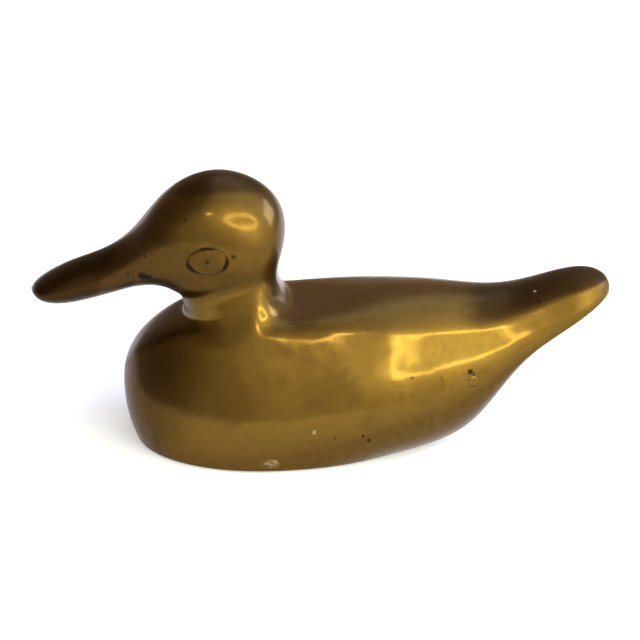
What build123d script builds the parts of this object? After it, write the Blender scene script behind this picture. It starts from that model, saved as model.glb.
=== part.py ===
"""Hollow cast brass duck: a resting duck figurine with a brazed-on head and a felted base."""
from build123d import *
from bisect import bisect
from itertools import pairwise
from math import cos, hypot, pi, radians, sin
import os

# Frame: millimetres, table top at z = 0, bill towards -X, the duck's left side towards -Y.

# Ends of the body casting
CHEST_X = -56.0
CHEST_Z = 16.5
TAIL_X = 81.4
TAIL_Z = 43.5

# Lines of the body casting as (x, height or half breadth); the keel is carried on below the table
HALF_BREADTH = [(-60, 31), (-22, 32), (0, 31.4), (20, 29.3), (38, 23.7), (54, 17.1), (68, 13.2), (82, 11.2)]
BACK = [(-60, 36.5), (-40, 37.8), (-14, 38.2), (13, 42.2), (35, 43.4), (50, 43), (66, 47), (82, 51.5)]
KEEL = [
    (-60, -21.6), (-23, -21.6), (0, -11), (20, -3.2), (38, 1.8),
    (45, 7.2), (55, 21.6), (68, 34.6), (82, 41.5),
]
WIDEST = [(-60, 9), (-30, 6.5), (0, 9.8), (25, 15.3), (42, 20.8), (58, 29.3), (72, 37), (82, 41.8)]

# Shoulder line of the back as (x, share): of the half breadth, and of the rise from the widest place
SHOULDER_OUT = [(-60, 0.57), (-30, 0.635), (0, 0.652), (20, 0.682), (38, 0.738), (58, 0.77), (82, 0.785)]
SHOULDER_UP = [(-60, 0.785), (-30, 0.91), (0, 0.893), (20, 0.776), (38, 0.66), (58, 0.615), (82, 0.6)]
SHOULDER_SLOPE = 58.5

# Fullness of each stretch of a body section, as the reach of its curve's handles
BACK_REACH = 0.62
SHOULDER_REACH = 0.22
FLANK_REACH = 0.40
SIDE_REACH = 0.45
BILGE_REACH = 0.63

# Lengths over which the chest and the tail round in, and how square the rounding is
CHEST_ROUND_TOP = 30.5
CHEST_ROUND_KEEL = 49.5
CHEST_ROUND_SIDE = 44.5
CHEST_SQUARENESS = 2.2
TAIL_ROUND_PROFILE = 18.0
TAIL_ROUND_PLAN = 12.0
TAIL_SQUARENESS = 2.1

# Stations from the foot of the neck to the tip of the bill:
# crown (x, z), throat (x, z), half breadth
HEAD_LINES = [
    ((-4.5, 34.5), (-38.6, 29.0), 20.0),
    ((-8.6, 39.6), (-38.2, 34.8), 16.8),
    ((-11.4, 44.4), (-38.6, 39.6), 15.4),
    ((-11.6, 50.5), (-39.8, 42.4), 15.0),
    ((-9.9, 57.5), (-41.6, 43.5), 16.2),
    ((-10.5, 66.0), (-43.6, 44.3), 16.8),
    ((-16.4, 73.4), (-45.6, 44.6), 16.6),
    ((-27.0, 77.0), (-47.8, 44.7), 16.0),
    ((-37.8, 74.4), (-50.0, 44.4), 14.4),
    ((-45.7, 68.0), (-52.6, 43.9), 12.2),
    ((-51.6, 60.9), (-55.6, 43.0), 10.2),
    ((-57.7, 55.8), (-59.2, 41.9), 9.0),
    ((-64.0, 52.8), (-64.6, 40.4), 8.7),
    ((-71.0, 50.0), (-71.0, 39.2), 9.0),
    ((-77.0, 46.8), (-77.0, 39.6), 8.0),
    ((-80.2, 44.5), (-80.2, 41.6), 4.6),
    ((-81.4, 42.9), (-81.4, 42.9), 0.0),
]
NECK_JOINT = 3
BILL_TIP = 15.9

# Fullness of the head sections as the reach of their curves' handles: on the throat's side,
# and on the crown's side as (station number, reach), squarer at the nape
OVAL_REACH = 0.5523
CROWN_REACH = [(0, 0.85), (2, 0.85), (3, 0.82), (4, 0.74), (5, 0.63), (6, 0.56), (7, OVAL_REACH), (16, OVAL_REACH)]
NECK_FILLET = 1.2

# Castings
BODY_WALL = 3.2
HEAD_WALL = 3.2
BODY_HOLLOW_END = 62.0
HEAD_HOLLOW_START = 3.8
HEAD_HOLLOW_END = 10.5
NECK_BORE_RADIUS = 10.2
NECK_BORE_DEPTH = 16.0
NECK_FLANGE = 6.0
SPIGOT_LENGTH = 7.0
SPIGOT_WALL = 2.0
BRAZE_SIZE = 1.8
FIT = 0.05

# Core holes in the body's flanks, closed by driven plugs: (name, x, z, diameter)
CORE_HOLES = [("front", -30.4, 24.4, 5.0), ("rear", 42.4, 23.3, 3.3)]
SIDES = {"left": 1, "right": -1}
PLUG_STANDS_IN = 0.8

# Engraved eye
EYE_X = -30.6
EYE_Z = 56.6
EYE_LENGTH = 11.4
EYE_HEIGHT = 8.2
EYE_TILT = 5.0
EYE_LINE = 0.6
EYE_DEPTH = 0.35
PUPIL_DIAMETER = 0.9
EYE_CORNER_X = 7.2
EYE_CORNER_Z = 0.8
EYE_CORNER_DIAMETER = 0.8

# Underside: felt pad, then sheet brass plate soldered into a rebate of the body
RIM_Z = 0.4
RIM_WIDTH = 1.5
FELT_THICKNESS = 1.2
FELT_GAP = 0.3
PLATE_THICKNESS = 1.2
SOLDER_WIDTH = 0.4

# Stations of each lofted form, and how far its end stations stop short of the tip
BODY_STATIONS = 26
HEAD_STEPS = 2
TIP_GAP = 0.05

# Derived places
PLATE_Z = FELT_THICKNESS
LEDGE_Z = PLATE_Z + PLATE_THICKNESS
FAR = TAIL_X - CHEST_X


def smooth_line(points):
    """Natural cubic curve through (place, size) points, as a function of the place."""
    places, sizes = zip(*points)
    gaps = [b - a for a, b in pairwise(places)]
    slopes = [(b - a) / gap for (a, b), gap in zip(pairwise(sizes), gaps)]
    ratios, sums = [0.0], [0.0]
    for (gap, after), (slope, steeper) in zip(pairwise(gaps), pairwise(slopes)):
        pivot = 2 * (gap + after) - gap * ratios[-1]
        sums.append((6 * (steeper - slope) - gap * sums[-1]) / pivot)
        ratios.append(after / pivot)
    bends = [0.0]
    for ratio, total in zip(reversed(ratios), reversed(sums)):
        bends.insert(0, total - ratio * bends[0])

    def size_at(place):
        i = min(max(bisect(places, place) - 1, 0), len(gaps) - 1)
        gap, back, ahead = gaps[i], place - places[i], places[i + 1] - place
        curved = (bends[i] * ahead**3 + bends[i + 1] * back**3) / (6 * gap)
        start = (sizes[i] / gap - bends[i] * gap / 6) * ahead
        end = (sizes[i + 1] / gap - bends[i + 1] * gap / 6) * back
        return curved + start + end

    return size_at


half_breadth = smooth_line(HALF_BREADTH)
back = smooth_line(BACK)
keel = smooth_line(KEEL)
widest = smooth_line(WIDEST)
shoulder_out = smooth_line(SHOULDER_OUT)
shoulder_up = smooth_line(SHOULDER_UP)


def head_line(pick):
    """One size of the head stations as a smooth function of the station number."""
    return smooth_line([(number, pick(station)) for number, station in enumerate(HEAD_LINES)])


crown_x = head_line(lambda station: station[0][0])
crown_z = head_line(lambda station: station[0][1])
throat_x = head_line(lambda station: station[1][0])
throat_z = head_line(lambda station: station[1][1])
head_half_breadth = head_line(lambda station: station[2])
crown_reach = smooth_line(CROWN_REACH)


def rounded(distance, length, squareness):
    """Share of the full size at a distance from a rounded end."""
    share = min(max(distance / length, 0.0), 1.0)
    return (1 - (1 - share) ** squareness) ** (1 / squareness)


def between(start, end, share):
    """Value a share of the way from start to end."""
    return start + (end - start) * share


def body_outline(half, top, side, bottom, out, up):
    """Closed body section of back, shoulders, flanks and bilge, in the sketch's own plane."""
    edge, rise = half * out, (top - side) * up
    slope = radians(SHOULDER_SLOPE)
    fall_in, fall_out = SHOULDER_REACH * edge, FLANK_REACH * rise
    above = (edge - fall_in * cos(slope), side + rise + fall_in * sin(slope))
    below = (edge + fall_out * cos(slope), side + rise - fall_out * sin(slope))
    for hand in SIDES.values():
        shoulder = (hand * edge, side + rise)
        widest_place = (hand * half, side)
        Bezier((0, top), (hand * edge * BACK_REACH, top), (hand * above[0], above[1]), shoulder)
        Bezier(shoulder, (hand * below[0], below[1]), (hand * half, side + rise * SIDE_REACH), widest_place)
        bilge = (hand * half, between(side, bottom, BILGE_REACH))
        Bezier(widest_place, bilge, (hand * half * BILGE_REACH, bottom), (0, bottom))


def head_outline(half, height, fullness):
    """Closed head section from its half sizes and its crown's fullness, in the sketch's own plane."""
    for y in (half, -half):
        for z, reach in ((height, fullness), (-height, OVAL_REACH)):
            Bezier((0, z), (y * reach, z), (y, z * reach), (y, 0))


def body_form(inset, end_x):
    """Closed form of the body as far as end_x, drawn in by the inset all round."""
    front_x = CHEST_X + inset
    end_z = TAIL_Z if end_x == TAIL_X else widest(end_x)
    with BuildPart() as form:
        for station in range(BODY_STATIONS + 1):
            turn = (1 - cos(pi * station / BODY_STATIONS)) / 2
            x = between(front_x + TIP_GAP, end_x - TIP_GAP, turn)
            to_front, to_end = x - front_x, end_x - x
            tail = rounded(to_end, TAIL_ROUND_PROFILE, TAIL_SQUARENESS)
            topside = rounded(to_front, CHEST_ROUND_TOP, CHEST_SQUARENESS)
            underside = rounded(to_front, CHEST_ROUND_KEEL, CHEST_SQUARENESS)
            half = (half_breadth(x) - inset) * rounded(to_front, CHEST_ROUND_SIDE, CHEST_SQUARENESS)
            half *= rounded(to_end, TAIL_ROUND_PLAN, TAIL_SQUARENESS)
            top = between(end_z, between(CHEST_Z, back(x) - inset, topside), tail)
            side = between(end_z, between(CHEST_Z, widest(x), topside), tail)
            bottom = between(end_z, between(CHEST_Z, keel(x) + inset, underside), tail)
            with BuildSketch(Plane.YZ.offset(x)):
                with BuildLine():
                    body_outline(half, top, side, bottom, shoulder_out(x), shoulder_up(x))
                make_face()
        loft()
    return form.part


def head_plane(number):
    """Plane of a head station: y up towards the crown, with the station's half height."""
    rise_x = crown_x(number) - throat_x(number)
    rise_z = crown_z(number) - throat_z(number)
    middle = (crown_x(number) - rise_x / 2, 0, crown_z(number) - rise_z / 2)
    plane = Plane(origin=middle, x_dir=(0, 1, 0), z_dir=(-rise_z, 0, rise_x))
    return plane, hypot(rise_x, rise_z) / 2


def head_form(inset, first, last):
    """Form of the neck, head or bill between two station numbers, drawn in by the inset."""
    steps = round((last - first) * HEAD_STEPS)
    with BuildPart() as form:
        for step in range(steps + 1):
            number = between(first, last, step / steps)
            plane, half_height = head_plane(number)
            half, height = head_half_breadth(number) - inset, half_height - inset
            with BuildSketch(plane):
                with BuildLine():
                    head_outline(half, height, crown_reach(number))
                make_face()
        loft()
    return form.part


def base_slab(inset, low, high):
    """Slab between two heights, with the outline of the body's rim drawn in by the inset."""
    with BuildPart() as standing_form:
        add(body_form(inset, BODY_HOLLOW_END))
        split(bisect_by=Plane.XY.offset(RIM_Z), keep=Keep.TOP)
    outline = standing_form.faces().filter_by(Plane.XY).sort_by(Axis.Z)[0]
    with BuildPart() as slab:
        extrude(outline.moved(Location((0, 0, low - RIM_Z))), amount=high - low, dir=(0, 0, 1))
    return slab.part


def flank_rod(x, z, diameter, reach):
    """Rod across one flank: to the duck's left for a positive reach, else to the right."""
    with BuildPart() as rod:
        with BuildSketch(Plane.XZ):
            with Locations((x, z)):
                Circle(diameter / 2)
        extrude(amount=reach)
    return rod.part


def write(piece, name):
    """Label a finished piece and write its file."""
    piece.part.label = name
    export_step(piece.part, f"parts/{name}.step")


os.makedirs("parts", exist_ok=True)
body_outer = body_form(0, TAIL_X)
body_hollow = body_form(BODY_WALL, BODY_HOLLOW_END)
neck_foot = head_form(0, 0, NECK_JOINT + 1)
neck_plane = head_plane(NECK_JOINT)[0]

# Body casting: drilled across for the core pins, hollow and open below, with a bored neck foot
# and a rebate for the base plate
with BuildPart() as drilled_body:
    add(body_outer)
    split(bisect_by=Plane.XY.offset(RIM_Z), keep=Keep.TOP)
    with BuildSketch(Plane.XZ):
        for _, x, z, diameter in CORE_HOLES:
            with Locations((x, z)):
                Circle(diameter / 2 + FIT)
    extrude(amount=FAR, both=True, mode=Mode.SUBTRACT)

with BuildPart() as body_shell:
    add(drilled_body.part)
    add(neck_foot)
    fillet(new_edges(drilled_body.part, neck_foot, combined=body_shell.part), NECK_FILLET)
    split(bisect_by=neck_plane, keep=Keep.BOTTOM)
    add(body_hollow, mode=Mode.SUBTRACT)
    add(base_slab(RIM_WIDTH, 0, LEDGE_Z), mode=Mode.SUBTRACT)
    with BuildSketch(neck_plane):
        Circle(NECK_BORE_RADIUS)
    extrude(amount=-NECK_BORE_DEPTH, mode=Mode.SUBTRACT)
write(body_shell, "body_shell")

# Head casting: hollow to the root of the bill, with a spigot that stands in the neck foot
with BuildPart() as eyes:
    with BuildSketch(Plane.XZ):
        with Locations(Location((EYE_X, EYE_Z), EYE_TILT)):
            Ellipse(EYE_LENGTH / 2, EYE_HEIGHT / 2)
            Ellipse(EYE_LENGTH / 2 - EYE_LINE, EYE_HEIGHT / 2 - EYE_LINE, mode=Mode.SUBTRACT)
            Circle(PUPIL_DIAMETER / 2)
            with Locations((EYE_CORNER_X, EYE_CORNER_Z)):
                Circle(EYE_CORNER_DIAMETER / 2)
    extrude(amount=FAR, both=True)
    add(head_form(EYE_DEPTH, NECK_JOINT, HEAD_HOLLOW_END), mode=Mode.SUBTRACT)

with BuildPart() as head_shell:
    add(head_form(0, NECK_JOINT, BILL_TIP))
    add(head_form(HEAD_WALL, HEAD_HOLLOW_START, HEAD_HOLLOW_END), mode=Mode.SUBTRACT)
    with BuildSketch(neck_plane):
        Circle(NECK_BORE_RADIUS - FIT)
    extrude(amount=-SPIGOT_LENGTH)
    with BuildSketch(neck_plane.offset(-SPIGOT_LENGTH)):
        Circle(NECK_BORE_RADIUS - FIT - SPIGOT_WALL)
    extrude(amount=SPIGOT_LENGTH + NECK_FLANGE, mode=Mode.SUBTRACT)
    add(eyes.part, mode=Mode.SUBTRACT)
write(head_shell, "head_shell")

# Braze that holds the head, run in from below around the end of the spigot
with BuildPart() as neck_braze:
    with BuildSketch(neck_plane.offset(-SPIGOT_LENGTH)):
        Circle(NECK_BORE_RADIUS - FIT)
        Circle(NECK_BORE_RADIUS - FIT - BRAZE_SIZE, mode=Mode.SUBTRACT)
    extrude(amount=-BRAZE_SIZE)
write(neck_braze, "neck_braze")

# Plugs in the core holes, filed flush with the flanks
plug_end = body_form(BODY_WALL + PLUG_STANDS_IN, BODY_HOLLOW_END)
for end, x, z, diameter in CORE_HOLES:
    for side, direction in SIDES.items():
        with BuildPart() as core_plug:
            add(flank_rod(x, z, diameter, direction * FAR))
            add(body_outer, mode=Mode.INTERSECT)
            add(plug_end, mode=Mode.SUBTRACT)
        write(core_plug, f"core_plug_{end}_{side}")

# Base plate, the solder round its edge and the felt pad below it
plate_inset = RIM_WIDTH + FIT + SOLDER_WIDTH + FIT
with BuildPart() as base_plate:
    add(base_slab(plate_inset, PLATE_Z, LEDGE_Z))
write(base_plate, "base_plate")

with BuildPart() as base_solder:
    add(base_slab(RIM_WIDTH + FIT, PLATE_Z, LEDGE_Z))
    add(base_slab(plate_inset - FIT, PLATE_Z, LEDGE_Z), mode=Mode.SUBTRACT)
write(base_solder, "base_solder")

with BuildPart() as felt_pad:
    add(base_slab(RIM_WIDTH + FELT_GAP, 0, FELT_THICKNESS))
write(felt_pad, "felt_pad")
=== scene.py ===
"""Brass duck: smooth skins that follow the castings' own lines, brass with tarnish, and a plain studio."""
import math
from collections import namedtuple

import bmesh
import bpy
import numpy as np
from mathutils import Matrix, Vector


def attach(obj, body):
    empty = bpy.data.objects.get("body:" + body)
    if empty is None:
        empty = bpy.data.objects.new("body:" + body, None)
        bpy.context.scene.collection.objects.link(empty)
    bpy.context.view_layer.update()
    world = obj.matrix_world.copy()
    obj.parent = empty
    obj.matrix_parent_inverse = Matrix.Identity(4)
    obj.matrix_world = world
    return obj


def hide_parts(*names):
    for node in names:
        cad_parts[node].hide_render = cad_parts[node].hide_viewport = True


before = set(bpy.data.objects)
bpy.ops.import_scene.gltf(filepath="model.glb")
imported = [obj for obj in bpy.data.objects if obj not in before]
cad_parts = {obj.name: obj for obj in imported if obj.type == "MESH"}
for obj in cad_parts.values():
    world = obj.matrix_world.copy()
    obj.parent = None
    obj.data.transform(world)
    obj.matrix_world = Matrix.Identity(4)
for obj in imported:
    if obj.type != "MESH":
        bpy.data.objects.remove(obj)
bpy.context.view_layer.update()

MM = 0.001

# Lines of the body casting in millimetres, as (x, height or half breadth)
CHEST_X, CHEST_Z = -56.0, 16.5
TAIL_X, TAIL_Z = 81.36, 43.5  # 0.04 short of the solid's tail, so that the skin stays within the solid's box
TAIL_TIP_SETBACK = 0.1
HALF_BREADTH = [(-60, 31), (-22, 32), (0, 31.4), (20, 29.3), (38, 23.7), (54, 17.1), (68, 13.2), (82, 11.2)]
BACK = [(-60, 36.5), (-40, 37.8), (-14, 38.2), (13, 42.2), (35, 43.4), (50, 43), (66, 47), (82, 51.5)]
KEEL = [
    (-60, -21.6), (-23, -21.6), (0, -11), (20, -3.2), (38, 1.8),
    (45, 7.2), (55, 21.6), (68, 34.6), (82, 41.5),
]
WIDEST = [(-60, 9), (-30, 6.5), (0, 9.8), (25, 15.3), (42, 20.8), (58, 29.3), (72, 37), (82, 41.8)]
SHOULDER_OUT = [(-60, 0.57), (-30, 0.635), (0, 0.652), (20, 0.682), (38, 0.738), (58, 0.77), (82, 0.785)]
SHOULDER_UP = [(-60, 0.785), (-30, 0.91), (0, 0.893), (20, 0.776), (38, 0.66), (58, 0.615), (82, 0.6)]
SHOULDER_SLOPE = math.radians(58.5)
BACK_REACH, SHOULDER_REACH, FLANK_REACH, SIDE_REACH, BILGE_REACH = 0.62, 0.22, 0.40, 0.45, 0.63
CHEST_ROUND_TOP, CHEST_ROUND_KEEL, CHEST_ROUND_SIDE, CHEST_SQUARENESS = 30.5, 49.5, 44.5, 2.2
TAIL_ROUND_PROFILE, TAIL_ROUND_PLAN, TAIL_SQUARENESS = 18.0, 12.0, 2.1

# The rim round the open underside, and heights above it at which its worn edge is cut
RIM_Z, RIM_WIDTH, RIM_ROUND, LEDGE_Z = 0.4, 1.5, 0.5, 2.4
RIM_STEPS = (RIM_ROUND, 0.22, 0.07, 0.0)
RIM_TOLERANCE, RIM_LEAST_DROP, RIM_LEAST_SLOPE, RIM_POINTS_ASIDE = 0.01, 1e-4, 0.2, 3

# Stations from the foot of the neck to the tip of the bill: crown (x, z), throat (x, z), half breadth
HEAD_LINES = [
    ((-4.5, 34.5), (-38.6, 29.0), 20.4),  # the first three are up to 0.5 broader than in the solid
    ((-8.6, 39.6), (-38.2, 34.8), 17.3),
    ((-11.4, 44.4), (-38.6, 39.6), 15.9),
    ((-11.6, 50.5), (-39.8, 42.4), 15.0),
    ((-9.9, 57.5), (-41.6, 43.5), 16.2),
    ((-10.5, 66.0), (-43.6, 44.3), 16.8),
    ((-16.4, 73.4), (-45.6, 44.6), 16.6),
    ((-27.0, 77.0), (-47.8, 44.7), 16.0),
    ((-37.8, 74.4), (-50.0, 44.4), 14.4),
    ((-45.7, 68.0), (-52.6, 43.9), 12.2),
    ((-51.6, 60.9), (-55.6, 43.0), 10.2),
    ((-57.7, 55.8), (-59.2, 41.9), 9.0),
    ((-64.0, 52.8), (-64.6, 40.4), 8.7),
    ((-71.0, 50.0), (-71.0, 39.2), 9.0),
    ((-77.0, 46.8), (-77.0, 39.6), 8.0),
    ((-80.2, 44.5), (-80.2, 41.6), 4.6),
    ((-81.4, 42.9), (-81.4, 42.9), 0.0),
]
NECK_JOINT, LAST_EYE_STATION, LAST_BILL_STATION = 3.0, 9.5, 15.96

# Fullness of the head sections: on the throat's side, and on the crown's side by station number
OVAL_REACH = 0.5523
CROWN_REACH = [
    (0, 0.80), (2, 0.82), (3, 0.82), (4, 0.74), (5, 0.63), (6, 0.56), (7, OVAL_REACH), (16, OVAL_REACH),
]

# The neck's foot, softer than the solid's fillet: how far it flares from the neck's middle, and how squarely
NECK_X, NECK_BLEND_NAPE, NECK_BLEND_THROAT, NECK_BLEND_SIDE = -24.4, 17.0, 17.6, 21.0
NECK_BLEND_SQUARE_REAR, NECK_BLEND_SQUARE_FRONT = 0.8, 0.85
NECK_BLEND_BLOCK = (-50.5, 3.5, -0.36, 0.36)

# Stations where the flare leaves the neck, the pull of its curve at both ends, and steps that give its slopes
NECK_LEAVE_NAPE, NECK_LEAVE_SIDE, NECK_LEAVE_THROAT = 1.35, 1.4, 1.5
NECK_PULL, BACK_PULL, NECK_STEP, BACK_STEP = 0.35, 0.30, 0.05, 0.02

# Its two rear corners: direction and spread, how much higher and further they start, and their swelling
NECK_CORNER, NECK_CORNER_NAPE, NECK_CORNER_SIDE = np.radians((54, 21, 30))
NECK_CORNER_RISE, NECK_CORNER_REACH = 0.95, 2.0
SWELL, SWELL_FULL_ROW, SWELL_LAST_ROW = 0.9, 19, 33
SWELL_PLACE, SWELL_WIDTH, SWELL_FACING = np.radians((60, 22, 16))

# Plugs in the core holes (place, x, z, diameter, depth of the hairline), on both sides
CORE_HOLES = [("front", -30.4, 24.4, 5.0, 0.03), ("rear", 42.4, 23.3, 3.3, 0.10)]
SIDES = {"left": -1, "right": 1}
HAIRLINE_WIDTH, HOLE_MARGIN, CAP_CLEARANCE, CAP_WALL = 0.22, 1.9, 0.02, 2.0

# The engraved eye: place, size, line, dots in its middle and at its rear corner, deepest direction in radians
EYE_X, EYE_Z, EYE_TILT = -30.6, 56.6, math.radians(5.0)
EYE_HALF_LENGTH, EYE_HALF_HEIGHT, EYE_LINE, EYE_DEPTH = 5.4, 3.8, 0.34, 0.22
EYE_CORNER, EYE_CORNER_WIDTH, PUPIL_WIDTH = (7.2, 0.8), 0.42, 0.45
EYE_DEEPEST, EYE_DEPTH_CHANGE = 2.3, 0.28
EYE_PATCH_LENGTH, EYE_PATCH_HEIGHT, EYE_LEAST_Y, EYE_LAST_SCALE = 9.6, 6.9, 6.0, 2.0

# Density of the skins, and of the tables that find a point on them
BODY_STATIONS, BODY_LINES = 300, 136
BACK_SHARE, FLANK_SHARE = 0.30, 0.27
HEAD_STATIONS, HEAD_LINES_ROUND, CROWN_SHARE = 220, 192, 0.6
NECK_ROWS, BLEND_ROWS, SPREAD_ROWS = 15, 15, 12
HOLE_ROWS = (0, 0.03, 0.07, 0.12, 0.18, 0.26, 0.36, 0.48, 0.61, 0.75, 0.88)
CAP_ROWS = (1, 0.985, 0.96, 0.92, 0.87, 0.8, 0.68, 0.54, 0.4, 0.26, 0.12)
CAP_SIDES = 72
EYE_ROWS = (
    0.02, 0.05, 0.08, 0.12, 0.18, 0.3, 0.45, 0.6, 0.72, 0.8, 0.86, 0.895, 0.92, 0.945, 0.965, 0.983,
    1.0, 1.017, 1.035, 1.055, 1.08, 1.105, 1.14, 1.18, 1.22, 1.26, 1.3, 1.34, 1.38, 1.42, 1.46,
)
EYE_OUTER_ROWS = (0.25, 0.5, 0.75)
LOWEST_V, LEAST_V = 0.8, 1e-9
LEVEL_TABLE, HOLE_TABLE, STATION_TABLE, TURN_TABLE, TRAVEL_TABLE = 500, 800, 900, 400, 4000

# Evening of the skins: how far a point moves in a pass, the passes, and the rows of the neck's foot
EVENING, BODY_PASSES, FOOT_PASSES, HEAD_PASSES = 0.5, 8, 40, 6
FOOT_FIRST_ROW, FOOT_LAST_ROW, FOOT_FADE_ROWS, FOOT_SIDE_POWER = 12, 30, 4, 1.5


def smooth_line(points):
    """Natural cubic curve through (place, size) points, as a function of an array of places."""
    places, sizes = np.array(points, float).T
    gaps = np.diff(places)
    slopes = np.diff(sizes) / gaps
    system, load = np.eye(len(places)), np.zeros(len(places))
    for i in range(1, len(places) - 1):
        system[i, i - 1:i + 2] = gaps[i - 1], 2 * (gaps[i - 1] + gaps[i]), gaps[i]
        load[i] = 6 * (slopes[i] - slopes[i - 1])
    bends = np.linalg.solve(system, load)

    def size_at(place):
        i = np.clip(np.searchsorted(places, place) - 1, 0, len(gaps) - 1)
        gap, behind, ahead = gaps[i], place - places[i], places[i + 1] - place
        curved = (bends[i] * ahead**3 + bends[i + 1] * behind**3) / (6 * gap)
        start = (sizes[i] / gap - bends[i] * gap / 6) * ahead
        return curved + start + (sizes[i + 1] / gap - bends[i + 1] * gap / 6) * behind

    return size_at


half_breadth, back, keel, widest = map(smooth_line, (HALF_BREADTH, BACK, KEEL, WIDEST))
shoulder_out, shoulder_up = smooth_line(SHOULDER_OUT), smooth_line(SHOULDER_UP)


def head_line(pick):
    """Curve through one measure of the head's stations."""
    return smooth_line([(number, pick(station)) for number, station in enumerate(HEAD_LINES)])


crown_x, crown_z = head_line(lambda s: s[0][0]), head_line(lambda s: s[0][1])
throat_x, throat_z = head_line(lambda s: s[1][0]), head_line(lambda s: s[1][1])
head_breadth = head_line(lambda s: s[2])
crown_reach = smooth_line(CROWN_REACH)


def rounded(distance, length, squareness):
    """Share of the full size at a distance from a rounded end."""
    share = np.clip(distance / length, 0, 1)
    return (1 - (1 - share) ** squareness) ** (1 / squareness)


def mix(start, end, share):
    return start + (end - start) * share


def unit(vectors):
    return vectors / np.linalg.norm(vectors, axis=1, keepdims=True)


def bezier(a, b, c, d, t):
    return (1 - t) ** 3 * a + 3 * (1 - t) ** 2 * t * b + 3 * (1 - t) * t * t * c + t**3 * d


def body_point(x, v):
    """Point of the body's skin: v runs from 0 on the back to 1 on the keel, signed like y."""
    to_front, to_end = x - CHEST_X, TAIL_X - x
    tail = rounded(to_end, TAIL_ROUND_PROFILE, TAIL_SQUARENESS)
    topside = rounded(to_front, CHEST_ROUND_TOP, CHEST_SQUARENESS)
    underside = rounded(to_front, CHEST_ROUND_KEEL, CHEST_SQUARENESS)
    half = half_breadth(x) * rounded(to_front, CHEST_ROUND_SIDE, CHEST_SQUARENESS)
    half = half * rounded(to_end, TAIL_ROUND_PLAN, TAIL_SQUARENESS)
    top = mix(TAIL_Z, mix(CHEST_Z, back(x), topside), tail)
    side = mix(TAIL_Z, mix(CHEST_Z, widest(x), topside), tail)
    bottom = mix(TAIL_Z, mix(CHEST_Z, keel(x), underside), tail)
    edge, rise = half * shoulder_out(x), (top - side) * shoulder_up(x)
    run, fall = math.cos(SHOULDER_SLOPE), math.sin(SHOULDER_SLOPE)
    a = np.abs(v)
    t = np.clip(a / BACK_SHARE, 0, 1)
    y_back = bezier(0, edge * BACK_REACH, edge * (1 - SHOULDER_REACH * run), edge, t)
    z_back = bezier(top, top, side + rise + SHOULDER_REACH * edge * fall, side + rise, t)
    t = np.clip((a - BACK_SHARE) / FLANK_SHARE, 0, 1)
    y_flank = bezier(edge, edge + FLANK_REACH * rise * run, half, half, t)
    z_flank = bezier(side + rise, side + rise * (1 - FLANK_REACH * fall), side + rise * SIDE_REACH, side, t)
    t = np.clip((a - BACK_SHARE - FLANK_SHARE) / (1 - BACK_SHARE - FLANK_SHARE), 0, 1)
    y_bilge = bezier(half, half, half * BILGE_REACH, 0, t)
    z_bilge = bezier(side, mix(side, bottom, BILGE_REACH), bottom, bottom, t)
    on_back, on_flank = a < BACK_SHARE, a < BACK_SHARE + FLANK_SHARE
    y = np.where(on_back, y_back, np.where(on_flank, y_flank, y_bilge))
    z = np.where(on_back, z_back, np.where(on_flank, z_flank, z_bilge))
    return np.stack([x + 0 * y, np.copysign(y, v), z], axis=-1)


def body_through(x, level, axis, hand):
    """Point of the skin on one hand at each x where its y (axis 1) or height (axis 2) is the level."""
    v = np.linspace(0, BACK_SHARE + FLANK_SHARE if axis == 1 else LOWEST_V, LEVEL_TABLE)
    table = body_point(x[:, None], v[None, :])[..., axis]
    sign = 1 if axis == 1 else -1
    found = [np.interp(sign * want, sign * row, v) for want, row in zip(level, table)]
    return body_point(x, hand * np.maximum(found, LEAST_V))


def head_section(s, turn):
    """Shares of a head section's height and breadth: turn 0 is the crown, 1 the widest, 2 the throat."""
    above = turn < 1
    t, reach = np.where(above, turn, 2 - turn), np.where(above, crown_reach(s), OVAL_REACH)
    return np.where(above, 1, -1) * bezier(1, 1, reach, 0, t), bezier(0, reach, 1, 1, t)


def head_middle(s):
    """Middle of a head section and half its height, as x and z of each."""
    across_x, across_z = (crown_x(s) - throat_x(s)) / 2, (crown_z(s) - throat_z(s)) / 2
    return crown_x(s) - across_x, crown_z(s) - across_z, across_x, across_z


def head_point(s, angle):
    """Point of the head's skin: the angle is 0 on the crown, half a turn on the throat, signed like y."""
    middle_x, middle_z, across_x, across_z = head_middle(s)
    up, out = head_section(s, np.abs(angle) / (np.pi / 2))
    y = np.copysign(head_breadth(s) * out, angle)
    return np.stack([middle_x + across_x * up, y, middle_z + across_z * up], axis=-1)


def head_through(x, z, hand):
    """Point of the head's skin on one hand seen at (x, z) from the side."""
    s = np.linspace(NECK_JOINT, LAST_EYE_STATION, STATION_TABLE)
    middle_x, middle_z, across_x, across_z = head_middle(s)
    miss = (x[:, None] - middle_x) * across_z - (z[:, None] - middle_z) * across_x
    i = np.argmax(np.diff(np.sign(miss), axis=1) != 0, axis=1)
    rows = np.arange(len(x))
    share = miss[rows, i] / (miss[rows, i] - miss[rows, i + 1])
    s = mix(s[i], s[i + 1], share)
    middle_x, middle_z, across_x, across_z = head_middle(s)
    height = ((x - middle_x) * across_x + (z - middle_z) * across_z) / (across_x**2 + across_z**2)
    turns = np.linspace(0, 2, TURN_TABLE)
    heights = head_section(s[:, None], turns[None, :])[0]
    turn = np.array([np.interp(-want, -row, turns) for want, row in zip(height, heights)])
    return head_point(s, hand * turn * np.pi / 2)


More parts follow.
